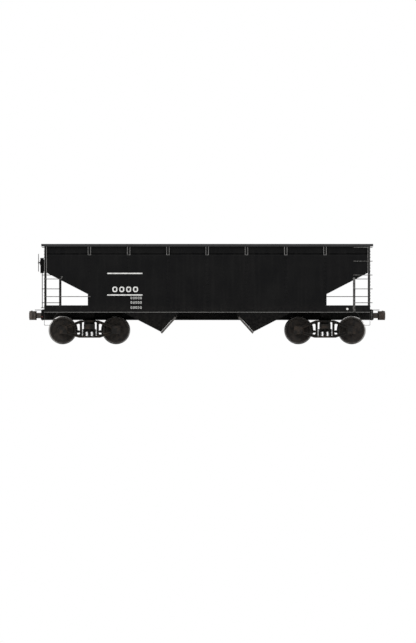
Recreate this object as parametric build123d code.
from build123d import *
import os
from math import cos, hypot, radians, sin, tan

os.makedirs("parts", exist_ok=True)

# Four-axle open hopper wagon of riveted steel, with two bays of doors between its trucks.
# Millimetres. X runs along the wagon, Z is up, and Z is 0 at the tips of the wheel flanges.
# Sizes along X and Y are given for the corner at +X, +Y.

# Main sizes of the body
INSIDE_LENGTH = 10058.0
INSIDE_WIDTH = 3061.0
BODY_TOP = 3149.0
TRUCK_CENTRES = 7392.0
PANELS_BETWEEN_TRUCKS = 6
SHEET = 6.4

# Top chord, an angle ring with a deep lip
CHORD_HEIGHT = 80.0
CHORD_PLATE = 12.0
CHORD_LIP = 24.0
CHORD_SIDE_REACH = 23.0
CHORD_END_REACH = 94.0
CHORD_SEAT_LEG = 10.0
CHORD_CORNER = 60.0

# Side sheets, set in at the top so that the posts come outside them
JOG_DEPTH = 82.0
JOG_DROP = 355.0
JOG_BEND = 40.0
SHEET_END_PAST_TRUCK = 35.0
POST_WIDTH = 100.0
POST_PLATE = 8.0
POST_BEND = 7.0

# Side sill, an angle riveted outside the side sheet
SILL_BOTTOM = 1000.0
SILL_HEIGHT = 223.0
SILL_PLATE = 10.0
SILL_LEG = 92.0

# Ends
CORNER_POST_DEPTH = 78.0
CORNER_POST_FACE = 100.0
CORNER_PLATE = 10.0
CORNER_BEND = 9.0
END_POST_Y = 560.0
END_POST_WIDTH = 130.0

# Slopes inside: end slope down to the hopper's tip, and a ridge across the middle
SLOPE_DROP = 913.0
TIP_X = 1452.0
TIP_Z = 390.0
LIP_ANGLE = 47.9
LIP_LENGTH = 690.0
RIDGE_ANGLE = 46.0
HOOD_ANGLE = 50.0

# Hopper chutes, two side by side in each bay
CHUTE_INNER_Y = 276.4
CHUTE_OUTER_BOTTOM_Y = 1180.0

# Doors, hinged at the top of the chutes' open faces
DOOR_DEPTH = 60.0
DOOR_PLATE = 10.0
DOOR_GAP = 5.0
DOOR_PAST_TIP = 20.0
DOOR_TOP = 42.0
DOOR_RIB = 12.0
DOOR_RIBS = 2
HINGE_DROP = 35.0
HINGE_EYE = 26.0
HINGE_PIN = 12.5
HINGE_LUG = 30.0
HINGE_EAR = 12.0
HINGE_EAR_BACK = 78.0
HINGE_SIDE_GAP = 5.0
HINGE_INNER_Y = 380.0
HINGE_OUTER_Y = 1330.0
PIN_CLEARANCE = 0.3
BEAM_WIDTH = 80.0
BEAM_TOP = 500.0

# Centre sill of two Z sections under a top plate, and the striker at each end of it
SILL_WEB_Y = 163.5
SILL_WEB = 9.5
CENTRE_BOTTOM = 759.0
CENTRE_HEIGHT = 327.0
CENTRE_FLANGE = 264.0
CENTRE_FLANGE_PLATE = 14.0
STRIKER_DEPTH = 95.0
STRIKER_WALL = 10.0
STRIKER_ROUND = 24.0
STRIKER_TOP_GAP = 12.0

# Body bolsters and centre plates
BOLSTER_HALF_X = 150.0
BOLSTER_PLATE = 12.0
BOLSTER_LEDGE = 24.0
BOLSTER_FLAT_Y = 720.0
BOLSTER_TOP = 1110.0
CENTRE_PLATE_TOP = 679.0
CENTRE_PLATE_RADIUS = 150.0
CENTRE_PLATE_FLANGE = 45.0
CENTRE_PLATE_BASE = 18.0
SIDE_BEARING_Y = 635.0
SIDE_BEARING_GAP = 6.0
SIDE_BEARING_HEIGHT = 60.0
SIDE_BEARING_HALF_X = 70.0
SIDE_BEARING_HALF_Y = 90.0

# Wheelsets
TREAD_RADIUS = 419.0
TREAD_CONE = 5.0
TREAD_CHAMFER = 6.0
FLANGE_DEPTH = 25.0
FLANGE_WIDTH = 40.0
FLANGE_TIP = 11.0
FLANGE_THROAT = 5.0
BACK_TO_BACK = 1353.0
RIM_WIDTH = 140.0
RIM_DEPTH = 62.0
WHEEL_PLATE = 28.0
DISH_AT_HUB = 46.0
DISH_AT_RIM = 71.0
PLATE_FILLET = 24.0
HUB_RADIUS = 135.0
HUB_PAST_BACK = 14.0
HUB_PAST_FRONT = 24.0
WHEELBASE = 1676.0
JOURNAL_Y = 978.0
JOURNAL_RADIUS = 70.0
JOURNAL_LENGTH = 254.0
JOURNAL_COLLAR = 8.0
SEAT_RADIUS = 88.0
SEAT_PAST_HUB = 6.0
AXLE_RADIUS = 75.0
AXLE_TAPER = 60.0

# Truck side frames and journal boxes
FRAME_WIDTH = 130.0
FRAME_OVER_AXLE = 308.0
FRAME_UNDER_AXLE = 239.0
FRAME_TOP_HALF_X = 290.0
FRAME_FOOT_HALF_X = 330.0
FRAME_END_RISE = 150.0
FRAME_BEAM = 60.0
FRAME_COLUMN = 75.0
FRAME_CORNER = 26.0
FRAME_RIM = 24.0
FRAME_RECESS = 38.0
WINDOW_DROP = 95.0
WINDOW_END_DROP = 85.0
WINDOW_END_RISE = 70.0
WINDOW_END_GAP = 30.0
WINDOW_CORNER = 34.0
BOX_HALF_X = 135.0
BOX_WIDTH = 230.0
BOX_OVER_AXLE = 130.0
BOX_UNDER_AXLE = 125.0
BOX_ROUND = 24.0
BOX_LID = 14.0
LID_PLATE = 9.0
LID_INSET = 34.0
LID_HINGE = 11.0
JOURNAL_GAP = 5.0
BOLSTER_OPENING = 226.0
SPRING_SEAT = 262.0

# Truck bolsters and springs
TRUCK_BOLSTER_TOP = 640.0
TRUCK_BOLSTER_BOTTOM = 480.0
TRUCK_BOLSTER_HALF_X = 178.0
BELLY_DEPTH = 90.0
BELLY_FLAT_Y = 420.0
BELLY_END_Y = 700.0
BELLY_ROUND = 120.0
BOWL_WALL = 15.0
BOWL_RIM = 15.0
BOWL_GAP = 5.0
SPRING_RADIUS = 68.0
SPRING_WIRE = 14.0
SPRING_PITCH_X = 158.0
SPRING_TURNS = 5

# Brake beams between the wheels and the truck bolster
SHOE_GAP = 8.0
SHOE_THICK = 45.0
SHOE_HALF_WIDTH = 45.0
SHOE_HALF_ANGLE = 22.0
SHOE_PLACE = 0.62
BRAKE_BEAM_Z = 400.0
BRAKE_BEAM_DEPTH = 58.0
BRAKE_BEAM_HALF_HEIGHT = 40.0
BRAKE_BEAM_PAST_TREAD = 30.0
BRAKE_BEAM_PLATE = 10.0
GUIDE_HALF_HEIGHT = 30.0
GUIDE_GAP = 14.0

# Couplers, with their plans as (back from the pulling face, across), round from the shank
COUPLER_Z = 901.0
COUPLER_REACH = 474.6
COUPLER_PIVOT_INSET = 213.4
SHANK_WIDTH = 130.0
SHANK_HEIGHT = 170.0
HEAD_PLAN = [(240, -85), (200, -150), (45, -195), (8, -205), (12, -165), (130, -110), (150, -20),
             (150, 140), (200, 140), (240, 85)]
HEAD_ROUND = 12.0
LUG_PLAN = [(150, 40), (150, 140), (55, 140), (43, 95), (55, 50)]
LUG_HEIGHT = 38.0

# Knuckles, with their plan as (forward of the pin, across from the pin)
KNUCKLE_HEIGHT = 280.0
KNUCKLE_BACK = 85.0
KNUCKLE_Y = 95.0
KNUCKLE_PIN = 20.0
KNUCKLE_GAP = 5.0
KNUCKLE_PLAN = [(40, 25), (85, -35), (85, -125), (45, -140), (20, -110), (22, -45), (-38, -30), (-38, 25),
                (0, 42)]
KNUCKLE_ROUND = 12.0

# Uncoupling levers
LEVER_RADIUS = 11.0
LEVER_BEND = 32.0
LEVER_STANDOFF = 50.0
LEVER_OVER_HEAD = 34.0
LEVER_HANDLE = 330.0
LEVER_INSET = 40.0
LEVER_ELBOW_Y = 232.0
LEVER_ARM_BACK = 190.0
LEVER_ARM_Y = 40.0
BRACKET_PLACES = (1300.0, 330.0)
BRACKET_WIDTH = 16.0
BRACKET_RADIUS = 22.0

# Train pipe along the centre sill, crossing it in the middle
PIPE_RADIUS = 21.0
PIPE_Y = 222.0
PIPE_Z = 815.0
PIPE_CROSS_X = 620.0
PIPE_BEND = 160.0
PIPE_PAST_BODY = 110.0
PIPE_HOLE_GAP = 0.3
COCK_RADIUS = 34.0
COCK_LENGTH = 90.0
OUTLET_RADIUS = 17.0
OUTLET_DEPTH = 60.0

# Hand brake on the end post at -X
BRAKE_WHEEL_RADIUS = 280.0
BRAKE_RIM = 12.0
BRAKE_HUB = 36.0
BRAKE_SPOKES = 5
SPOKE_WIDTH = 26.0
SPOKE_PLATE = 9.0
BRAKE_WHEEL_REACH = 177.0
BRAKE_WHEEL_DROP = 589.0
CASE_DEPTH = 120.0
CASE_PLATE = 10.0
CASE_WIDTH = 220.0
CASE_PLATE_WIDTH = 330.0
CASE_ABOVE = 150.0
CASE_BELOW = 330.0
BRAKE_ROD_RADIUS = 12.0
BRAKE_ROD_FOOT = 80.0

# Air brake cylinder and reservoir on angle bars
BRAKE_GEAR_Y = 560.0
BEARER_TOP = 940.0
BEARER_LEG = 40.0
BEARER_PLATE = 8.0
BEARER_PITCH = 340.0
CYLINDER_RADIUS = 135.0
CYLINDER_LENGTH = 420.0
CYLINDER_ROUND = 36.0
CYLINDER_RIB = 16.0
RESERVOIR_RADIUS = 140.0
RESERVOIR_LENGTH = 620.0
RESERVOIR_ROUND = 70.0

# Side and end ladders
RUNG_COUNT = 5
RUNG_RADIUS = 11.0
RUNG_REACH = 66.0
RUNG_BEND = 30.0
TOP_RUNG_DROP = 107.0
LOW_RUNG_RISE = 80.0
LADDER_INSET = 504.0
STILE_WIDTH = 76.0
STILE_PLATE = 10.0
STILE_LAP = 79.0
STILE_BEVEL = 24.0
END_LADDER_WIDTH = 410.0

# Grab iron and long handrail at the corner without a ladder
GRAB_INSET = 553.0
GRAB_LAP = 54.0
HANDRAIL_RISE = 273.0

# Sill step hung below the side sill at each corner
STEP_DROP = 410.0
STEP_MIDDLE_DROP = 212.0
STEP_WIDTH = 292.0
STEP_TOP_WIDTH = 420.0
STEP_BAR = 12.0
STEP_DEPTH = 50.0
STEP_BEND = 28.0

# Places that follow from the sizes above
TOUCH = 0.001
AXLE_Z = TREAD_RADIUS + FLANGE_DEPTH
END_X = INSIDE_LENGTH / 2
END_FACE = END_X + SHEET
BODY_END = END_FACE + CORNER_POST_DEPTH
CHORD_END = BODY_END + CHORD_END_REACH
PIPE_END = BODY_END + PIPE_PAST_BODY
PULLING_FACE = BODY_END + COUPLER_REACH
COUPLER_PIVOT_X = BODY_END - COUPLER_PIVOT_INSET
KNUCKLE_X = PULLING_FACE - KNUCKLE_BACK
BRAKE_WHEEL_X = BODY_END + BRAKE_WHEEL_REACH
BRAKE_WHEEL_Z = BODY_TOP - BRAKE_WHEEL_DROP
LADDER_X = BODY_END - LADDER_INSET
GRAB_INNER_X = BODY_END - GRAB_INSET
SIDE_IN = INSIDE_WIDTH / 2
SIDE_OUT = SIDE_IN + SHEET
UPPER_OUT = SIDE_OUT - JOG_DEPTH
UPPER_IN = UPPER_OUT - SHEET
JOG_BOTTOM = BODY_TOP - JOG_DROP
CHORD_Y = SIDE_OUT + CHORD_SIDE_REACH
CHORD_BOTTOM = BODY_TOP - CHORD_HEIGHT
CHORD_UNDER = BODY_TOP - CHORD_PLATE
SILL_TOP = SILL_BOTTOM + SILL_HEIGHT
SILL_OUT = SIDE_OUT + SILL_PLATE
FLOOR_LINE = SILL_BOTTOM + SILL_PLATE
HANDRAIL_Z = SILL_TOP + HANDRAIL_RISE
TRUCK_X = TRUCK_CENTRES / 2
POST_PITCH = TRUCK_CENTRES / PANELS_BETWEEN_TRUCKS
SHEET_END = TRUCK_X + SHEET_END_PAST_TRUCK
BRAKE_GEAR_X = (TRUCK_X + BOLSTER_HALF_X + END_FACE) / 2
CENTRE_TOP = CENTRE_BOTTOM + CENTRE_HEIGHT
SILL_WEB_OUT = SILL_WEB_Y + SILL_WEB
STRIKER_Y = SILL_WEB_OUT + STRIKER_WALL
SLOPE_TOP = BODY_TOP - SLOPE_DROP
SLOPE_RISE = (SLOPE_TOP - TIP_Z) / (END_X - TIP_X)
SLOPE_STRETCH = hypot(1, SLOPE_RISE)
RIDGE_RISE = tan(radians(RIDGE_ANGLE))
RIDGE_STRETCH = hypot(1, RIDGE_RISE)
LIP_RUN = cos(radians(LIP_ANGLE))
LIP_FALL = sin(radians(LIP_ANGLE))
LIP_X = TIP_X - LIP_LENGTH * LIP_RUN
LIP_Z = TIP_Z + LIP_LENGTH * LIP_FALL
RIDGE_Z = LIP_Z + LIP_X * RIDGE_RISE
HOOD_Z = CENTRE_TOP + CHUTE_INNER_Y * tan(radians(HOOD_ANGLE))
HINGE_X = LIP_X - HINGE_DROP * LIP_FALL
HINGE_Z = LIP_Z - HINGE_DROP * LIP_RUN
FRAME_TOP = AXLE_Z + FRAME_OVER_AXLE
FRAME_BOTTOM = AXLE_Z - FRAME_UNDER_AXLE
RIM_INNER = TREAD_RADIUS - RIM_DEPTH
WHEEL_BACK = BACK_TO_BACK / 2
WHEEL_FRONT = WHEEL_BACK + RIM_WIDTH
HUB_BACK = WHEEL_BACK - HUB_PAST_BACK
HUB_FRONT = WHEEL_FRONT + HUB_PAST_FRONT
LEVER_Z = COUPLER_Z + KNUCKLE_HEIGHT / 2 + LEVER_OVER_HEAD
LOW_RUNG_Z = SILL_TOP + LOW_RUNG_RISE
RUNG_PITCH = (BODY_TOP - TOP_RUNG_DROP - LOW_RUNG_Z) / (RUNG_COUNT - 1)
post_places = [(i - PANELS_BETWEEN_TRUCKS / 2) * POST_PITCH for i in range(PANELS_BETWEEN_TRUCKS + 1)]
rung_heights = [LOW_RUNG_Z + i * RUNG_PITCH for i in range(RUNG_COUNT)]


def slope_z(x):
    """Height of the end slope's underside at this place along the wagon."""
    return SLOPE_TOP - (END_X - x) * SLOPE_RISE


def slope_x(z):
    """Place along the wagon where the end slope's underside is at this height."""
    return END_X - (SLOPE_TOP - z) / SLOPE_RISE


def ridge_x(z):
    """Place along the wagon where the middle ridge's underside is at this height."""
    return (RIDGE_Z - z) / RIDGE_RISE


def chute_y(z):
    """Place across the wagon of a chute's outer wall at this height."""
    share = (FLOOR_LINE - z) / (FLOOR_LINE - TIP_Z)
    return SIDE_IN - (SIDE_IN - CHUTE_OUTER_BOTTOM_Y) * share


def side_y(z):
    """Place across the wagon of the side sheet's outer face at this height."""
    share = (z - JOG_BOTTOM) / JOG_DEPTH
    return SIDE_OUT - JOG_DEPTH * min(max(share, 0), 1)


def block(x_low, x_high, y_low, y_high, z_low, z_high):
    """A box between two corners."""
    centre = Pos((x_low + x_high) / 2, (y_low + y_high) / 2, (z_low + z_high) / 2)
    return centre * Box(x_high - x_low, y_high - y_low, z_high - z_low)


def rod(start, end, radius):
    """A round bar between two points."""
    run = Vector(*end) - Vector(*start)
    return Solid.make_cylinder(radius, run.length, Plane(origin=start, z_dir=run))


def corners_at(face, points):
    """The corners of a flat face that lie at these points."""
    return [v for v in face.vertices() if any(hypot(v.X - u, v.Y - w) < TOUCH for u, w in points)]


def outline(points, corners=(), radius=0.0):
    """A flat face inside a closed line of points, with some of its corners rounded."""
    face = make_face(Polyline(*points, close=True))
    return fillet(corners_at(face, corners), radius) if corners else face


def strip(line, thickness, bend=0.0):
    """The flat face of a bent plate: a line of points thickened to its left, with its bends rounded."""
    normals = []
    for (ax, az), (bx, bz) in zip(line, line[1:]):
        length = hypot(bx - ax, bz - az)
        normals.append((-(bz - az) / length, (bx - ax) / length))
    moved = []
    for index, (x, z) in enumerate(line):
        before = normals[max(index - 1, 0)]
        after = normals[min(index, len(normals) - 1)]
        mx, mz = before[0] + after[0], before[1] + after[1]
        reach = 2 * thickness / (mx * mx + mz * mz)
        moved.append((x + mx * reach, z + mz * reach))
    corners = line[1:-1] + moved[1:-1] if bend else []
    return outline(line + moved[::-1], corners, bend)


def along_x(face, x_low, x_high):
    """A solid with a face of (y, z) points, from one x to another."""
    place = Plane(origin=(x_low, 0, 0), x_dir=(0, 1, 0), z_dir=(1, 0, 0))
    return extrude(place * face, amount=x_high - x_low, dir=(1, 0, 0))


def along_y(face, y_low, y_high):
    """A solid with a face of (x, z) points, from one y to another."""
    place = Plane(origin=(0, y_low, 0), x_dir=(1, 0, 0), z_dir=(0, -1, 0))
    return extrude(place * face, amount=y_high - y_low, dir=(0, 1, 0))


def along_z(face, z_low, z_high):
    """A solid with a face of (x, y) points, from one z to another."""
    return extrude(Pos(0, 0, z_low) * face, amount=z_high - z_low, dir=(0, 0, 1))


def bar_loop(points, radius, bend):
    """A round bar bent along a line of points."""
    path = FilletPolyline(*points, radius=bend)
    return sweep(Plane(origin=path @ 0, z_dir=path % 0) * Circle(radius), path=path)


def other_end(shape):
    """The same shape at the wagon's other end, turned half round."""
    return Rot(0, 0, 180) * shape


def other_side(shape):
    """The mirror image on the wagon's other side."""
    return mirror(shape, about=Plane.XZ)


def four_corners(shape):
    """The shape at all four corners, mirrored across and along the wagon."""
    near = other_side(shape)
    return [shape, near, mirror(shape, about=Plane.YZ), mirror(near, about=Plane.YZ)]


def save(name, *shapes):
    """Write one piece, of one or more solids, to its own file."""
    solids = [solid for shape in shapes for solid in shape.solids()]
    whole = solids[0] if len(solids) == 1 else Compound(children=solids)
    export_step(whole, f"parts/{name}.step")


def make_side_posts():
    """Seven pressed channels, inside the lower sheet and outside the upper one."""
    half = POST_WIDTH / 2
    posts = []
    for x in post_places:
        line = [(x - half, UPPER_OUT), (x - half, SIDE_IN), (x + half, SIDE_IN), (x + half, UPPER_OUT)]
        posts.append(along_z(strip(line, -POST_PLATE, POST_BEND), FLOOR_LINE, CHORD_BOTTOM))
    return posts


def make_side_sheet():
    """One side's sheet: set in at the top, cut to the end slopes, slotted for the posts."""
    line = [(SIDE_OUT, FLOOR_LINE), (SIDE_OUT, JOG_BOTTOM),
            (UPPER_OUT, JOG_BOTTOM + JOG_DEPTH), (UPPER_OUT, CHORD_UNDER)]
    sheet = along_x(strip(line, SHEET, JOG_BEND), -END_X, END_X)
    below = [(SHEET_END, 0), (SHEET_END, slope_z(SHEET_END)), (END_X, SLOPE_TOP), (END_X, 0)]
    notch = along_y(outline(below), 0, CHORD_Y)
    sheet = sheet - notch - mirror(notch, about=Plane.YZ)
    half = POST_WIDTH / 2
    for x in post_places:
        sheet -= block(x - half, x + half, UPPER_OUT, SIDE_IN, FLOOR_LINE, CHORD_BOTTOM)
    return sheet


def make_side_sill():
    """One side's sill angle, its lower leg cut away over the chutes and the end sills."""
    line = [(SILL_OUT, SILL_TOP), (SILL_OUT, SILL_BOTTOM), (SILL_OUT - SILL_LEG, SILL_BOTTOM)]
    sill = along_x(strip(line, -SILL_PLATE), -BODY_END, BODY_END)
    chute_end = slope_x(FLOOR_LINE) + SILL_PLATE
    chute = block(ridge_x(FLOOR_LINE), chute_end, 0, SIDE_OUT, SILL_BOTTOM, FLOOR_LINE)
    end = block(END_FACE, BODY_END, 0, SIDE_OUT, SILL_BOTTOM, FLOOR_LINE)
    for cut in (chute, end):
        sill = sill - cut - mirror(cut, about=Plane.YZ)
    return sill


def make_top_chord():
    """The ring round the top: a flat plate, a lip outside and a leg riveted to the sheets."""
    plate = block(-CHORD_END, CHORD_END, -CHORD_Y, CHORD_Y, CHORD_BOTTOM, BODY_TOP)
    plate = fillet(plate.edges().filter_by(Axis.Z), CHORD_CORNER)
    inner_x, inner_y = CHORD_END - CHORD_LIP, CHORD_Y - CHORD_LIP
    hollow = block(-inner_x, inner_x, -inner_y, inner_y, CHORD_BOTTOM, CHORD_UNDER)
    leg_x, leg_y = END_FACE + CHORD_SEAT_LEG, UPPER_OUT + CHORD_SEAT_LEG
    leg = block(-leg_x, leg_x, -leg_y, leg_y, CHORD_BOTTOM, CHORD_UNDER)
    leg -= block(-END_FACE, END_FACE, -UPPER_OUT, UPPER_OUT, CHORD_BOTTOM, CHORD_UNDER)
    mouth = block(-END_X, END_X, -UPPER_IN, UPPER_IN, CHORD_UNDER, BODY_TOP)
    return plate - hollow + leg - mouth


def make_end_sheet():
    """The upright sheet over the end slope."""
    bottom = SLOPE_TOP + SHEET * SLOPE_RISE + SHEET * SLOPE_STRETCH
    lower = block(END_X, END_FACE, -SIDE_OUT, SIDE_OUT, bottom, CHORD_BOTTOM)
    return lower + block(END_X, END_FACE, -UPPER_OUT, UPPER_OUT, CHORD_BOTTOM, CHORD_UNDER)


def make_corner_post():
    """An angle at the corner, standing on the end sill."""
    line = [(END_FACE, SIDE_OUT), (BODY_END, SIDE_OUT), (BODY_END, SIDE_OUT - CORNER_POST_FACE)]
    return along_z(strip(line, -CORNER_PLATE, CORNER_BEND), SILL_TOP, CHORD_BOTTOM)


def make_end_posts():
    """Two pressed channels behind the end sheet."""
    half = END_POST_WIDTH / 2
    posts = []
    for y in (-END_POST_Y, END_POST_Y):
        line = [(END_FACE, y - half), (BODY_END, y - half), (BODY_END, y + half), (END_FACE, y + half)]
        posts.append(along_z(strip(line, POST_PLATE, POST_BEND), SILL_TOP, CHORD_BOTTOM))
    return posts


def make_end_sill():
    """A channel across the end, cut out over the centre sill."""
    line = [(END_FACE, SILL_TOP), (BODY_END, SILL_TOP), (BODY_END, SILL_BOTTOM), (END_FACE, SILL_BOTTOM)]
    sill = along_y(strip(line, -SILL_PLATE), -SIDE_OUT, SIDE_OUT)
    return sill - block(END_X, BODY_END, -SILL_WEB_OUT, SILL_WEB_OUT, SILL_BOTTOM, CENTRE_TOP)


def load_section():
    """The space inside the body as seen along it: full width above, two chutes below."""
    half = [(0, BODY_TOP), (0, CENTRE_TOP), (CHUTE_INNER_Y, CENTRE_TOP), (CHUTE_INNER_Y, 0),
            (chute_y(0), 0), (SIDE_IN, FLOOR_LINE), (SIDE_IN, BODY_TOP)]
    one = along_x(outline(half), -END_FACE, END_FACE)
    return one + other_side(one)


def post_notch(x):
    """The space that the two side posts at one place take from a sheet inside the body."""
    half = POST_WIDTH / 2
    notch = block(x - half, x + half, UPPER_OUT, SIDE_IN, SILL_TOP, BODY_TOP)
    return notch + other_side(notch)


def make_slope_sheet():
    """The sloping floor from the end down to the hopper's tip."""
    line = [(TIP_X, TIP_Z), (END_FACE, SLOPE_TOP + SHEET * SLOPE_RISE)]
    sheet = along_y(strip(line, SHEET), -SIDE_IN, SIDE_IN) & load_section()
    return sheet - post_notch(TRUCK_X)


def make_cross_ridge():
    """The roof-shaped sheet across the middle that parts the two bays."""
    line = [(LIP_X, LIP_Z), (0, RIDGE_Z), (-LIP_X, LIP_Z)]
    ridge = along_y(strip(line, -SHEET), -SIDE_IN, SIDE_IN) & load_section()
    return ridge - post_notch(0)


def bay_profile(top):
    """The side view of one bay's chutes up to a given height."""
    return outline([(LIP_X, LIP_Z), (TIP_X, TIP_Z), (slope_x(top), top), (ridge_x(top), top)])


def make_chute_walls():
    """The outer and inner walls of one chute, apart from its sloping floor."""
    outer = strip([(CHUTE_OUTER_BOTTOM_Y, TIP_Z), (SIDE_IN, FLOOR_LINE)], -SHEET)
    outer_wall = along_x(outer, 0, END_X) & along_y(bay_profile(FLOOR_LINE), 0, SIDE_OUT + SHEET)
    inner_wall = along_y(bay_profile(CENTRE_TOP), CHUTE_INNER_Y - SHEET, CHUTE_INNER_Y)
    return [outer_wall, inner_wall]


def make_centre_hood():
    """The roof-shaped sheet over the centre sill in one bay."""
    line = [(-CHUTE_INNER_Y, CENTRE_TOP), (0, HOOD_Z), (CHUTE_INNER_Y, CENTRE_TOP)]
    hood = along_x(strip(line, SHEET), 0, END_X)
    low, high = CENTRE_TOP - SHEET, HOOD_Z + DOOR_DEPTH
    off_slope, off_ridge = SHEET * SLOPE_STRETCH, SHEET * RIDGE_STRETCH
    bay = [(ridge_x(low - off_ridge), low), (slope_x(low - off_slope), low),
           (slope_x(high - off_slope), high), (ridge_x(high - off_ridge), high)]
    return hood & along_y(outline(bay), -SIDE_IN, SIDE_IN)


def pipe_line():
    """The train pipe's line of points, on the same hand as seen from either end."""
    return [(-PIPE_END, -PIPE_Y, PIPE_Z), (-PIPE_CROSS_X, -PIPE_Y, PIPE_Z),
            (PIPE_CROSS_X, PIPE_Y, PIPE_Z), (PIPE_END, PIPE_Y, PIPE_Z)]


def make_centre_sill():
    """Two webs with flanges turned out below, with holes for the train pipe."""
    ledge = CENTRE_BOTTOM + CENTRE_FLANGE_PLATE
    under = CENTRE_TOP - CENTRE_FLANGE_PLATE
    section = [(SILL_WEB_Y, under), (SILL_WEB_OUT, under), (SILL_WEB_OUT, ledge), (CENTRE_FLANGE, ledge),
               (CENTRE_FLANGE, CENTRE_BOTTOM), (SILL_WEB_Y, CENTRE_BOTTOM)]
    web = along_x(outline(section), -BODY_END, BODY_END)
    hole = bar_loop(pipe_line(), PIPE_RADIUS + PIPE_HOLE_GAP, PIPE_BEND)
    return [web - hole, other_side(web) - hole]


def make_sill_cover():
    """The top plate that joins the centre sill's two webs."""
    return block(-BODY_END, BODY_END, -SILL_WEB_OUT, SILL_WEB_OUT, CENTRE_TOP - CENTRE_FLANGE_PLATE, CENTRE_TOP)


def make_striker():
    """The casting round the coupler's shank at the sill's end."""
    reach = BODY_END + STRIKER_DEPTH
    striker = block(BODY_END, reach, -STRIKER_Y, STRIKER_Y, CENTRE_BOTTOM, CENTRE_TOP)
    striker = fillet(striker.edges().filter_by(Axis.X), STRIKER_ROUND)
    high = COUPLER_Z + SHANK_HEIGHT / 2 + STRIKER_TOP_GAP
    low = COUPLER_Z - SHANK_HEIGHT / 2 - PIN_CLEARANCE
    return striker - block(BODY_END, reach, -SILL_WEB_Y, SILL_WEB_Y, low, high)


def make_body_bolster():
    """One arm of the beam that carries the body on its truck, with its side bearing."""
    half = BOLSTER_HALF_X
    under, over = CENTRE_BOTTOM + BOLSTER_PLATE, BOLSTER_TOP - BOLSTER_PLATE
    outside = [(SILL_WEB_OUT, CENTRE_BOTTOM), (BOLSTER_FLAT_Y, CENTRE_BOTTOM),
               (UPPER_OUT, SILL_BOTTOM), (UPPER_OUT, BOLSTER_TOP), (SILL_WEB_OUT, BOLSTER_TOP)]
    recess = outline([(SILL_WEB_OUT, under), (BOLSTER_FLAT_Y, under), (UPPER_OUT, SILL_BOTTOM + BOLSTER_PLATE),
                      (UPPER_OUT, over), (SILL_WEB_OUT, over)])
    arm = along_x(outline(outside), -half, half)
    arm -= along_x(recess, -half, BOLSTER_LEDGE - half)
    arm -= along_x(recess, half - BOLSTER_LEDGE, half)
    ledge = CENTRE_BOTTOM + CENTRE_FLANGE_PLATE
    arm -= block(-half, half, 0, CENTRE_FLANGE, CENTRE_BOTTOM, ledge)
    arm += block(-SIDE_BEARING_HALF_X, SIDE_BEARING_HALF_X, SIDE_BEARING_Y - SIDE_BEARING_HALF_Y,
                 SIDE_BEARING_Y + SIDE_BEARING_HALF_Y,
                 TRUCK_BOLSTER_TOP + SIDE_BEARING_HEIGHT + SIDE_BEARING_GAP, CENTRE_BOTTOM)
    arm -= rod((-half, PIPE_Y, PIPE_Z), (half, PIPE_Y, PIPE_Z), PIPE_RADIUS + PIPE_HOLE_GAP)
    return Pos(TRUCK_X, 0, 0) * arm


def make_centre_plate():
    """The round pad under the centre sill that turns on the truck."""
    reach = CENTRE_PLATE_RADIUS + CENTRE_PLATE_FLANGE
    base = block(TRUCK_X - reach, TRUCK_X + reach, -CENTRE_FLANGE, CENTRE_FLANGE,
                 CENTRE_BOTTOM - CENTRE_PLATE_BASE, CENTRE_BOTTOM)
    return base + rod((TRUCK_X, 0, CENTRE_PLATE_TOP), (TRUCK_X, 0, CENTRE_BOTTOM), CENTRE_PLATE_RADIUS)


def make_bolster_web():
    """The upright plate from the bolster to the slope."""
    low, high = TRUCK_X - SHEET / 2, TRUCK_X + SHEET / 2
    web = outline([(low, BOLSTER_TOP), (high, BOLSTER_TOP), (high, slope_z(high)), (low, slope_z(low))])
    return along_y(web, -UPPER_OUT, UPPER_OUT)


# The plane of a bay's door, with its own x down the lip, y across and z into the chute
door_plane = Plane(origin=(LIP_X, 0, LIP_Z), x_dir=(LIP_RUN, 0, -LIP_FALL), z_dir=(LIP_FALL, 0, LIP_RUN))


def door_face(inset):
    """The door's outline in its own plane, drawn in by an inset."""
    top_y = chute_y(LIP_Z - DOOR_TOP * LIP_FALL)
    low, high = DOOR_TOP + inset, LIP_LENGTH + DOOR_PAST_TIP - inset
    return outline([(low, CHUTE_INNER_Y + inset), (high, CHUTE_INNER_Y + inset),
                    (high, CHUTE_OUTER_BOTTOM_Y - inset), (low, top_y - inset)])


def make_door():
    """One door: a flanged pan with ribs, hinge lugs and its pins."""
    back, front = -DOOR_GAP - DOOR_DEPTH, -DOOR_GAP
    whole = along_z(door_face(0), back, front)
    bottom = LIP_LENGTH + DOOR_PAST_TIP
    pan = whole - along_z(door_face(DOOR_PLATE), back, front - DOOR_PLATE)
    rib_pitch = (CHUTE_OUTER_BOTTOM_Y - CHUTE_INNER_Y) / (DOOR_RIBS + 1)
    for number in range(DOOR_RIBS):
        y = CHUTE_INNER_Y + (number + 1) * rib_pitch
        pan += block(DOOR_TOP, bottom, y - DOOR_RIB / 2, y + DOOR_RIB / 2, back, front) & whole
    for y in (HINGE_INNER_Y, HINGE_OUTER_Y):
        low, high = y - HINGE_LUG / 2, y + HINGE_LUG / 2
        arm = HINGE_EYE / 2
        lug = block(0, DOOR_TOP + DOOR_PLATE, low, high, -HINGE_DROP - arm, -HINGE_DROP + arm)
        lug += rod((0, low, -HINGE_DROP), (0, high, -HINGE_DROP), HINGE_EYE)
        reach = HINGE_LUG / 2 + HINGE_SIDE_GAP + HINGE_EAR
        pan += lug + rod((0, y - reach, -HINGE_DROP), (0, y + reach, -HINGE_DROP), HINGE_PIN)
    return door_plane.location * pan


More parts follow.
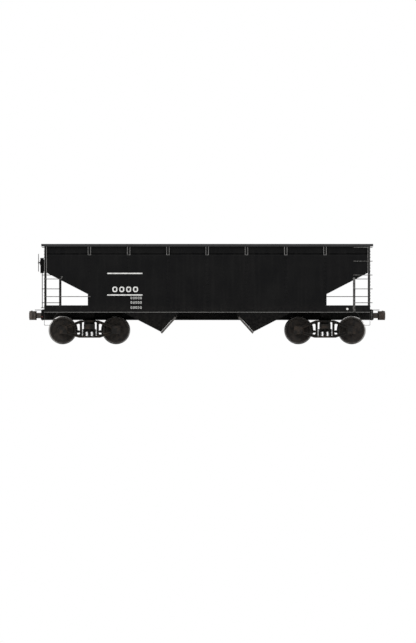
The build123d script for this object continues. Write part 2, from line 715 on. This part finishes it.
def make_door_beam():
    """The channel that joins a bay's two doors below the centre sill."""
    back, front, low, high = -DOOR_GAP - DOOR_DEPTH, -DOOR_GAP, BEAM_TOP, BEAM_TOP + BEAM_WIDTH
    beam = block(low, high, -CHUTE_INNER_Y, CHUTE_INNER_Y, back, front)
    beam -= block(low + DOOR_PLATE, high - DOOR_PLATE, -CHUTE_INNER_Y, CHUTE_INNER_Y, back, front - DOOR_PLATE)
    return door_plane.location * beam


def make_hinge_ears():
    """The fixed ears on both sides of each door lug, under the ridge's foot."""
    inner, outer = HINGE_X - HINGE_EAR_BACK, HINGE_X + HINGE_EYE / 2
    face = outline([(HINGE_X - HINGE_EYE, HINGE_Z), (outer, HINGE_Z),
                    (outer, RIDGE_Z - outer * RIDGE_RISE), (inner, RIDGE_Z - inner * RIDGE_RISE)])
    ears = []
    for y in (HINGE_INNER_Y, HINGE_OUTER_Y):
        for t in (-1, 1):
            near = y + t * (HINGE_LUG / 2 + HINGE_SIDE_GAP)
            low, high = sorted((near, near + t * HINGE_EAR))
            ear = along_y(face, low, high) + rod((HINGE_X, low, HINGE_Z), (HINGE_X, high, HINGE_Z), HINGE_EYE)
            hole = rod((HINGE_X, low, HINGE_Z), (HINGE_X, high, HINGE_Z), HINGE_PIN + PIN_CLEARANCE)
            ears.append(ear - hole)
    return ears


def make_side_ladder():
    """The side ladder: a stile below the slope and bent bars up to the chord."""
    left, far = LADDER_X - STILE_WIDTH / 2, LADDER_X + STILE_WIDTH / 2
    top = slope_z(LADDER_X) + STILE_LAP
    shoulder = top - STILE_BEVEL
    stile_face = outline([(left, SILL_BOTTOM), (far, SILL_BOTTOM), (far, shoulder), (far - STILE_BEVEL, top),
                          (left + STILE_BEVEL, top), (left, shoulder)])
    stile = along_y(stile_face, SILL_OUT, SILL_OUT + STILE_PLATE)
    pad = block(left, far, SIDE_OUT, SILL_OUT, slope_z(far), shoulder)
    pieces = [stile + pad]
    right = END_FACE + CORNER_POST_DEPTH / 2
    out = SIDE_OUT + RUNG_REACH
    for z in rung_heights:
        seat = side_y(z) if z > top else SILL_OUT + STILE_PLATE
        points = [(LADDER_X, seat, z), (LADDER_X, out, z), (right, out, z), (right, SIDE_OUT, z)]
        pieces.append(bar_loop(points, RUNG_RADIUS, RUNG_BEND))
    return pieces


def make_end_ladder():
    """The ladder on the end beside it: an upright flat bar, and rungs from it to the corner post."""
    outer = SIDE_OUT - CORNER_POST_FACE / 2
    inner = outer - END_LADDER_WIDTH
    half = STILE_WIDTH / 2
    out = BODY_END + RUNG_REACH
    pieces = [block(BODY_END - STILE_PLATE, BODY_END, inner - half, inner + half, SILL_TOP, CHORD_BOTTOM)]
    for z in rung_heights:
        points = [(BODY_END, outer, z), (out, outer, z), (out, inner, z), (BODY_END, inner, z)]
        pieces.append(bar_loop(points, RUNG_RADIUS, RUNG_BEND))
    return pieces


def make_grab_irons():
    """A short grab iron over the slope's end and a long handrail below it."""
    out = SIDE_OUT + RUNG_REACH
    right = END_FACE + CORNER_POST_DEPTH / 2
    low = slope_z(GRAB_INNER_X) + GRAB_LAP
    high = low + RUNG_REACH
    grab = bar_loop([(-GRAB_INNER_X, SIDE_OUT, high), (-GRAB_INNER_X, out, high), (-GRAB_INNER_X, out, low),
                     (-right, out, low), (-right, SIDE_OUT, low)], RUNG_RADIUS, RUNG_BEND)
    rail = bar_loop([(-TRUCK_X, SIDE_OUT, HANDRAIL_Z), (-TRUCK_X, out, HANDRAIL_Z),
                     (-right, out, HANDRAIL_Z), (-right, SIDE_OUT, HANDRAIL_Z)], RUNG_RADIUS, RUNG_BEND)
    return [grab, rail]


def make_sill_step():
    """A bent flat bar with two treads, hung from the side sill."""
    outer, inner = BODY_END, BODY_END - STEP_WIDTH
    bottom, middle = SILL_BOTTOM - STEP_DROP, SILL_BOTTOM - STEP_MIDDLE_DROP
    line = [(outer, SILL_BOTTOM), (outer, bottom), (inner, bottom), (inner, middle),
            (BODY_END - STEP_TOP_WIDTH, SILL_BOTTOM)]
    low, high = SILL_OUT - STEP_DEPTH, SILL_OUT
    step = along_y(strip(line, -STEP_BAR, STEP_BEND), low, high)
    step += block(inner, outer, low, high, middle - STEP_BAR, middle)
    return step - block(inner - STEP_TOP_WIDTH, outer, low, high, SILL_BOTTOM, SILL_TOP)


def make_wheels():
    """The two wheels of one axle: hub, dished plate, coned tread and rounded flange."""
    half = WHEEL_PLATE / 2
    hub_y, rim_y = WHEEL_BACK + DISH_AT_HUB, WHEEL_BACK + DISH_AT_RIM
    tip, tread_end = TREAD_RADIUS + FLANGE_DEPTH, TREAD_RADIUS - TREAD_CONE
    plate = [(HUB_RADIUS, hub_y - half), (RIM_INNER, rim_y - half), (RIM_INNER, rim_y + half),
             (HUB_RADIUS, hub_y + half)]
    flange = [(tip, WHEEL_BACK), (tip, WHEEL_BACK + 2 * FLANGE_TIP + FLANGE_THROAT)]
    throat = (TREAD_RADIUS, WHEEL_BACK + FLANGE_WIDTH)
    around = [plate[0], (HUB_RADIUS, HUB_BACK), (SEAT_RADIUS, HUB_BACK), (SEAT_RADIUS, HUB_FRONT),
              (HUB_RADIUS, HUB_FRONT), plate[3], plate[2], (RIM_INNER, WHEEL_FRONT),
              (tread_end - TREAD_CHAMFER, WHEEL_FRONT), (tread_end, WHEEL_FRONT - TREAD_CHAMFER),
              throat, flange[1], flange[0], (RIM_INNER, WHEEL_BACK), plate[1]]
    section = outline(around, plate, PLATE_FILLET)
    wheel = revolve(fillet(corners_at(section, flange + [throat]), FLANGE_TIP), axis=Axis.Y)
    return [wheel, other_side(wheel)]


def make_axle():
    """The axle with its wheel seats and journals, on its own origin."""
    seat_in, seat_out = HUB_BACK - SEAT_PAST_HUB, HUB_FRONT + SEAT_PAST_HUB
    journal_in = JOURNAL_Y - JOURNAL_LENGTH / 2
    journal_out = JOURNAL_Y + BOX_WIDTH / 2 - BOX_LID - JOURNAL_GAP
    half = outline([(0, 0), (AXLE_RADIUS, 0), (AXLE_RADIUS, seat_in - AXLE_TAPER), (SEAT_RADIUS, seat_in),
                    (SEAT_RADIUS, seat_out), (JOURNAL_RADIUS + JOURNAL_COLLAR, journal_in),
                    (JOURNAL_RADIUS, journal_in), (JOURNAL_RADIUS, journal_out), (0, journal_out)])
    one = revolve(half, axis=Axis.Y)
    return one + other_side(one)


def make_journal_box(x):
    """One journal box on the side frame's end, with its hinged lid and its bore."""
    top, low = AXLE_Z + BOX_OVER_AXLE, AXLE_Z - BOX_UNDER_AXLE
    out = JOURNAL_Y + BOX_WIDTH / 2
    case = block(x - BOX_HALF_X, x + BOX_HALF_X, out - BOX_WIDTH, out, low, top)
    case = fillet(case.edges().filter_by(Axis.Y), BOX_ROUND)
    lid_half = BOX_HALF_X - LID_INSET
    lid = block(x - lid_half, x + lid_half, out, out + LID_PLATE, low + LID_INSET, top - LID_INSET)
    lid = fillet(lid.edges().filter_by(Axis.Y), BOX_ROUND)
    hinge_z = top - LID_INSET
    hinge = rod((x - lid_half / 2, out, hinge_z), (x + lid_half / 2, out, hinge_z), LID_HINGE)
    bore = rod((x, out - BOX_WIDTH, AXLE_Z), (x, out - BOX_LID, AXLE_Z), JOURNAL_RADIUS + PIN_CLEARANCE)
    return case + lid + hinge - bore


def make_side_frame():
    """One cast side frame on the truck's own origin: rimmed web, windows and journal boxes."""
    base = WHEELBASE / 2
    end_top, end_low = AXLE_Z + FRAME_END_RISE, AXLE_Z - BOX_UNDER_AXLE
    half = [(FRAME_TOP_HALF_X, FRAME_TOP), (base - BOX_HALF_X, end_top), (base + BOX_HALF_X, end_top),
            (base + BOX_HALF_X, end_low), (base - BOX_HALF_X, end_low), (FRAME_FOOT_HALF_X, FRAME_BOTTOM)]
    points = half + [(-x, z) for x, z in half[::-1]]
    side = outline(points, points, FRAME_CORNER)
    width, beam = BOLSTER_OPENING, FRAME_TOP - FRAME_BEAM
    points = [(-width, SPRING_SEAT), (width, SPRING_SEAT), (width, beam), (-width, beam)]
    opening = outline(points, points[2:], FRAME_CORNER)
    near, far = BOLSTER_OPENING + FRAME_COLUMN, base - BOX_HALF_X - WINDOW_END_GAP
    points = [(near, FRAME_TOP - WINDOW_DROP), (far, end_top - WINDOW_END_DROP),
              (far, end_low + WINDOW_END_RISE), (near, FRAME_BOTTOM + WINDOW_DROP)]
    window = outline(points, points, WINDOW_CORNER)
    low, high = JOURNAL_Y - FRAME_WIDTH / 2, JOURNAL_Y + FRAME_WIDTH / 2
    frame = along_y(side - opening - window - mirror(window, about=Plane.YZ), low, high)
    rimmed = offset(window, amount=FRAME_RIM)
    recess = offset(side, amount=-FRAME_RIM) - offset(opening, amount=FRAME_RIM)
    recess = recess - rimmed - mirror(rimmed, about=Plane.YZ)
    frame -= along_y(recess, high - FRAME_RECESS, high)
    for x in (-base, base):
        frame -= rod((x, low, AXLE_Z), (x, high, AXLE_Z), JOURNAL_RADIUS + JOURNAL_GAP)
        frame += make_journal_box(x)
    return frame


def make_truck_bolster():
    """The beam across the truck, with the bowl for the body's centre plate."""
    reach = JOURNAL_Y + FRAME_WIDTH / 2
    top, belly = TRUCK_BOLSTER_TOP, TRUCK_BOLSTER_BOTTOM - BELLY_DEPTH
    turns = [(BELLY_FLAT_Y, belly), (BELLY_END_Y, TRUCK_BOLSTER_BOTTOM)]
    points = [(reach, TRUCK_BOLSTER_BOTTOM), (reach, top), (0, top), (0, belly)] + turns
    side = outline(points, turns, BELLY_ROUND)
    half = along_x(side, -TRUCK_BOLSTER_HALF_X, TRUCK_BOLSTER_HALF_X)
    half += block(-SIDE_BEARING_HALF_X, SIDE_BEARING_HALF_X, SIDE_BEARING_Y - SIDE_BEARING_HALF_Y,
                  SIDE_BEARING_Y + SIDE_BEARING_HALF_Y, top, top + SIDE_BEARING_HEIGHT)
    rim = CENTRE_PLATE_TOP + BOWL_RIM
    bowl = rod((0, 0, top), (0, 0, rim), CENTRE_PLATE_RADIUS + BOWL_GAP + BOWL_WALL)
    bowl -= rod((0, 0, CENTRE_PLATE_TOP), (0, 0, rim), CENTRE_PLATE_RADIUS + BOWL_GAP)
    return half + other_side(half) + bowl


def make_springs():
    """Three coil springs under one end of the truck bolster, as ribbed columns."""
    pitch = (TRUCK_BOLSTER_BOTTOM - SPRING_SEAT) / SPRING_TURNS
    waist = SPRING_RADIUS - SPRING_WIRE
    side = [(0, SPRING_SEAT)]
    for turn in range(SPRING_TURNS):
        z = SPRING_SEAT + turn * pitch
        side += [(waist, z), (SPRING_RADIUS, z + pitch / 4), (SPRING_RADIUS, z + pitch * 3 / 4)]
    side += [(waist, TRUCK_BOLSTER_BOTTOM), (0, TRUCK_BOLSTER_BOTTOM)]
    column = revolve(make_face(Polyline(*[(radius, 0, z) for radius, z in side], close=True)), axis=Axis.Z)
    return [Pos(x, JOURNAL_Y, 0) * column for x in (-SPRING_PITCH_X, 0, SPRING_PITCH_X)]


def make_brake_beam():
    """One brake beam with a shoe at each wheel, on the truck's own origin, +X side."""
    base = WHEELBASE / 2
    tread_y = WHEEL_BACK + RIM_WIDTH * SHOE_PLACE
    low, high = tread_y - SHOE_HALF_WIDTH, tread_y + SHOE_HALF_WIDTH
    near = TREAD_RADIUS + SHOE_GAP
    ring = rod((base, low, AXLE_Z), (base, high, AXLE_Z), near + SHOE_THICK)
    ring -= rod((base, low, AXLE_Z), (base, high, AXLE_Z), near)
    reach = near + 2 * SHOE_THICK
    rise = reach * tan(radians(SHOE_HALF_ANGLE))
    wedge = outline([(base, AXLE_Z), (base - reach, AXLE_Z + rise), (base - reach, AXLE_Z - rise)])
    shoe = ring & along_y(wedge, low, high)
    front = base - near - SHOE_THICK + SHOE_GAP
    back, half = front - BRAKE_BEAM_DEPTH, BRAKE_BEAM_HALF_HEIGHT
    beam_y = tread_y + BRAKE_BEAM_PAST_TREAD
    beam = block(back, front, -beam_y, beam_y, BRAKE_BEAM_Z - half, BRAKE_BEAM_Z + half)
    inside = half - BRAKE_BEAM_PLATE
    beam -= block(back, front - BRAKE_BEAM_PLATE, -low, low, BRAKE_BEAM_Z - inside, BRAKE_BEAM_Z + inside)
    guide = block(BOLSTER_OPENING + GUIDE_GAP, front, tread_y, JOURNAL_Y - FRAME_WIDTH / 2,
                  BRAKE_BEAM_Z - GUIDE_HALF_HEIGHT, BRAKE_BEAM_Z + GUIDE_HALF_HEIGHT)
    return beam + shoe + other_side(shoe) + guide + other_side(guide)


def make_coupler():
    """The coupler's shank with its rounded tail, its head with the guard arm, and the knuckle's lugs."""
    half = SHANK_WIDTH / 2
    low, high = COUPLER_Z - KNUCKLE_HEIGHT / 2, COUPLER_Z + KNUCKLE_HEIGHT / 2
    shank_low, shank_high = COUPLER_Z - SHANK_HEIGHT / 2, COUPLER_Z + SHANK_HEIGHT / 2
    plan = [(PULLING_FACE - back, y) for back, y in HEAD_PLAN]
    coupler = along_z(outline(plan, plan[1:-1], HEAD_ROUND), low, high)
    coupler += block(COUPLER_PIVOT_X, plan[0][0], -half, half, shank_low, shank_high)
    coupler += rod((COUPLER_PIVOT_X, 0, shank_low), (COUPLER_PIVOT_X, 0, shank_high), half)
    lug_plan = outline([(PULLING_FACE - back, y) for back, y in LUG_PLAN])
    lugs = along_z(lug_plan, low, low + LUG_HEIGHT) + along_z(lug_plan, high - LUG_HEIGHT, high)
    hole = rod((KNUCKLE_X, KNUCKLE_Y, low), (KNUCKLE_X, KNUCKLE_Y, high), KNUCKLE_PIN + PIN_CLEARANCE)
    return coupler + lugs - hole


def make_knuckle():
    """The coupler's knuckle, turning on its upright pin."""
    low, high = COUPLER_Z - KNUCKLE_HEIGHT / 2, COUPLER_Z + KNUCKLE_HEIGHT / 2
    inset = LUG_HEIGHT + KNUCKLE_GAP
    plan = [(KNUCKLE_X + x, KNUCKLE_Y + y) for x, y in KNUCKLE_PLAN]
    body = along_z(outline(plan, plan, KNUCKLE_ROUND), low + inset, high - inset)
    return body + rod((KNUCKLE_X, KNUCKLE_Y, low), (KNUCKLE_X, KNUCKLE_Y, high), KNUCKLE_PIN)


def make_uncoupling_lever():
    """The bent bar that lifts the coupler's lock, with its handle near the corner."""
    x, y, arm_x = BODY_END + LEVER_STANDOFF, SIDE_OUT - LEVER_INSET, PULLING_FACE - LEVER_ARM_BACK
    points = [(x, -y, LEVER_Z - LEVER_HANDLE), (x, -y, LEVER_Z), (x, -LEVER_ELBOW_Y, LEVER_Z),
              (arm_x, -LEVER_ELBOW_Y, LEVER_Z), (arm_x, -LEVER_ARM_Y, LEVER_Z)]
    return bar_loop(points, LEVER_RADIUS, LEVER_BEND)


def make_lever_brackets():
    """The two lugs on the end sill that carry the uncoupling lever."""
    x = BODY_END + LEVER_STANDOFF
    brackets = []
    for y in BRACKET_PLACES:
        low, high = -y - BRACKET_WIDTH / 2, -y + BRACKET_WIDTH / 2
        lug = block(BODY_END, x, low, high, LEVER_Z - BRACKET_RADIUS, LEVER_Z + BRACKET_RADIUS)
        lug += rod((x, low, LEVER_Z), (x, high, LEVER_Z), BRACKET_RADIUS)
        brackets.append(lug - rod((x, low, LEVER_Z), (x, high, LEVER_Z), LEVER_RADIUS + PIN_CLEARANCE))
    return brackets


def make_train_pipe():
    """The air pipe beside the centre sill, through its webs in the middle, with a cock at each end."""
    cock = rod((PIPE_END - COCK_LENGTH, PIPE_Y, PIPE_Z), (PIPE_END, PIPE_Y, PIPE_Z), COCK_RADIUS)
    outlet = rod((PIPE_END - OUTLET_DEPTH, PIPE_Y, PIPE_Z), (PIPE_END, PIPE_Y, PIPE_Z), OUTLET_RADIUS)
    pipe = bar_loop(pipe_line(), PIPE_RADIUS, PIPE_BEND) + cock + other_end(cock)
    return pipe - outlet - other_end(outlet)


def make_brake_wheel():
    """The hand brake's wheel at the -X end: a rim on five flat spokes and a short shaft."""
    rim_line = BRAKE_WHEEL_RADIUS - BRAKE_RIM
    wheel = Torus(rim_line, BRAKE_RIM) + Cylinder(BRAKE_HUB, BRAKE_HUB)
    for spoke in range(BRAKE_SPOKES):
        arm = Pos(rim_line / 2, 0, 0) * Box(rim_line, SPOKE_WIDTH, SPOKE_PLATE)
        wheel += Rot(0, 0, 360 * spoke / BRAKE_SPOKES) * arm
    shaft_reach = BRAKE_WHEEL_REACH - CASE_DEPTH
    wheel += Pos(0, 0, shaft_reach / 2) * Cylinder(BRAKE_HUB / 2, shaft_reach)
    return Pos(-BRAKE_WHEEL_X, END_POST_Y, BRAKE_WHEEL_Z) * Rot(0, 90, 0) * Rot(0, 0, 180) * wheel


def make_brake_case():
    """The hand brake's gear case on its plate against the end post, and its rod down to the end sill."""
    back, front = -BODY_END, -BODY_END - CASE_DEPTH
    low, high = BRAKE_WHEEL_Z - CASE_BELOW, BRAKE_WHEEL_Z + CASE_ABOVE
    half = CASE_WIDTH / 2
    case = block(front, back - CASE_PLATE, END_POST_Y - half, END_POST_Y + half, low, high)
    case = fillet(case.edges().filter_by(Axis.X), half / 2)
    plate_half = CASE_PLATE_WIDTH / 2
    plate = block(back - CASE_PLATE, back, END_POST_Y - plate_half, END_POST_Y + plate_half,
                  low + half / 2, high - half / 2)
    x, foot_z = (front + back) / 2, SILL_TOP - BRAKE_ROD_FOOT
    pull_rod = rod((x, END_POST_Y, foot_z), (x, END_POST_Y, low + half), BRAKE_ROD_RADIUS)
    foot = block(x - BRAKE_ROD_FOOT / 2, back, END_POST_Y - BRAKE_ROD_FOOT / 2, END_POST_Y + BRAKE_ROD_FOOT / 2,
                 foot_z - BRAKE_ROD_RADIUS, foot_z + BRAKE_ROD_RADIUS)
    return case + plate + pull_rod + foot


def make_brake_cylinder():
    """The air brake cylinder on its two bearers beside the centre sill."""
    z = BEARER_TOP + CYLINDER_RADIUS
    start, end = -BRAKE_GEAR_X - CYLINDER_LENGTH / 2, -BRAKE_GEAR_X + CYLINDER_LENGTH / 2
    drum = rod((start, BRAKE_GEAR_Y, z), (end, BRAKE_GEAR_Y, z), CYLINDER_RADIUS)
    drum = fillet(drum.edges().filter_by(GeomType.CIRCLE), CYLINDER_ROUND)
    rib = rod((-BRAKE_GEAR_X, BRAKE_GEAR_Y, z), (-BRAKE_GEAR_X + CYLINDER_RIB, BRAKE_GEAR_Y, z),
              CYLINDER_RADIUS + CYLINDER_RIB)
    return drum + rib


def make_reservoir():
    """The air reservoir on the same bearers, across the centre sill."""
    z = BEARER_TOP + RESERVOIR_RADIUS
    start, end = -BRAKE_GEAR_X - RESERVOIR_LENGTH / 2, -BRAKE_GEAR_X + RESERVOIR_LENGTH / 2
    tank = rod((start, -BRAKE_GEAR_Y, z), (end, -BRAKE_GEAR_Y, z), RESERVOIR_RADIUS)
    return fillet(tank.edges().filter_by(GeomType.CIRCLE), RESERVOIR_ROUND)


def make_brake_bearers():
    """Angle bars out from the centre sill's webs under the cylinder and the reservoir."""
    bars = []
    for x in (-BRAKE_GEAR_X - BEARER_PITCH / 2, -BRAKE_GEAR_X + BEARER_PITCH / 2):
        line = [(x, BEARER_TOP - BEARER_LEG), (x, BEARER_TOP), (x + BEARER_LEG, BEARER_TOP)]
        bar = along_y(strip(line, -BEARER_PLATE), SILL_WEB_OUT, BRAKE_GEAR_Y + RESERVOIR_RADIUS)
        bars += [bar, other_side(bar)]
    return bars


# Body
side_posts = make_side_posts()
side_sheet = make_side_sheet()
side_sill = make_side_sill()
for side, place in (("far", lambda shape: shape), ("near", other_side)):
    save(f"side_sheet_{side}", place(side_sheet))
    save(f"side_posts_{side}", *[place(post) for post in side_posts])
    save(f"side_sill_{side}", place(side_sill))
save("top_chord", make_top_chord())
end_sheet = make_end_sheet()
save("end_sheets", end_sheet, other_end(end_sheet))
save("corner_posts", *four_corners(make_corner_post()))
end_posts = make_end_posts()
save("end_posts", *end_posts, *[other_end(post) for post in end_posts])
end_sill = make_end_sill()
save("end_sills", end_sill, other_end(end_sill))
slope_sheet = make_slope_sheet()
save("slope_sheet_a", slope_sheet)
save("slope_sheet_b", other_end(slope_sheet))
save("cross_ridge", make_cross_ridge())
hood = make_centre_hood()
save("centre_hoods", hood, other_end(hood))
save("centre_sill", *make_centre_sill())
save("centre_sill_cover", make_sill_cover())
striker = make_striker()
save("strikers", striker, other_end(striker))
outer_wall, inner_wall = make_chute_walls()
save("chute_outer_walls", *four_corners(outer_wall))
save("chute_inner_walls", *four_corners(inner_wall))
save("hinge_ears", *[corner for ear in make_hinge_ears() for corner in four_corners(ear)])
save("body_bolsters", *four_corners(make_body_bolster()))
centre_plate = make_centre_plate()
save("centre_plates", centre_plate, other_end(centre_plate))
bolster_web = make_bolster_web()
save("bolster_webs", bolster_web, other_end(bolster_web))
ladder = [other_side(piece) for piece in make_side_ladder()]
save("side_ladders", *ladder, *[other_end(piece) for piece in ladder])
end_ladder = [other_side(piece) for piece in make_end_ladder()]
save("end_ladders", *end_ladder, *[other_end(piece) for piece in end_ladder])
grabs = [other_side(piece) for piece in make_grab_irons()]
save("grab_irons", *grabs, *[other_end(piece) for piece in grabs])
save("sill_steps", *four_corners(make_sill_step()))
lever = make_uncoupling_lever()
save("uncoupling_levers", lever, other_end(lever))
brackets = make_lever_brackets()
save("lever_brackets", *brackets, *[other_end(piece) for piece in brackets])
save("train_pipe", make_train_pipe())
save("hand_brake_wheel", make_brake_wheel())
save("hand_brake_case", make_brake_case())
save("brake_cylinder", make_brake_cylinder())
save("air_reservoir", make_reservoir())
save("brake_bearers", *make_brake_bearers())

# Doors
door = make_door()
door_beam = make_door_beam()
for bay, place in (("a", lambda shape: shape), ("b", other_end)):
    save(f"hopper_doors_{bay}", place(door), place(other_side(door)))
    save(f"door_beam_{bay}", place(door_beam))

# Trucks and wheelsets
side_frame = make_side_frame()
truck_bolster = make_truck_bolster()
springs = make_springs()
brake_beam = make_brake_beam()
wheels = make_wheels()
axle = make_axle()
for end, truck_x in (("a", TRUCK_X), ("b", -TRUCK_X)):
    place = Pos(truck_x, 0, 0)
    save(f"side_frames_{end}", place * side_frame, place * other_side(side_frame))
    save(f"truck_bolster_{end}", place * truck_bolster)
    save(f"truck_springs_{end}", *[place * spring for spring in springs],
         *[place * other_side(spring) for spring in springs])
    save(f"brake_beams_{end}", place * brake_beam, place * mirror(brake_beam, about=Plane.YZ))
for number, axle_x in enumerate((-TRUCK_X - WHEELBASE / 2, -TRUCK_X + WHEELBASE / 2,
                                 TRUCK_X - WHEELBASE / 2, TRUCK_X + WHEELBASE / 2), start=1):
    place = Pos(axle_x, 0, AXLE_Z)
    save(f"wheels_{number}", *[place * wheel for wheel in wheels])
    save(f"axle_{number}", place * axle)

# Couplers
coupler = make_coupler()
knuckle = make_knuckle()
for end, place in (("a", lambda shape: shape), ("b", other_end)):
    save(f"coupler_{end}", place(coupler))
    save(f"knuckle_{end}", place(knuckle))
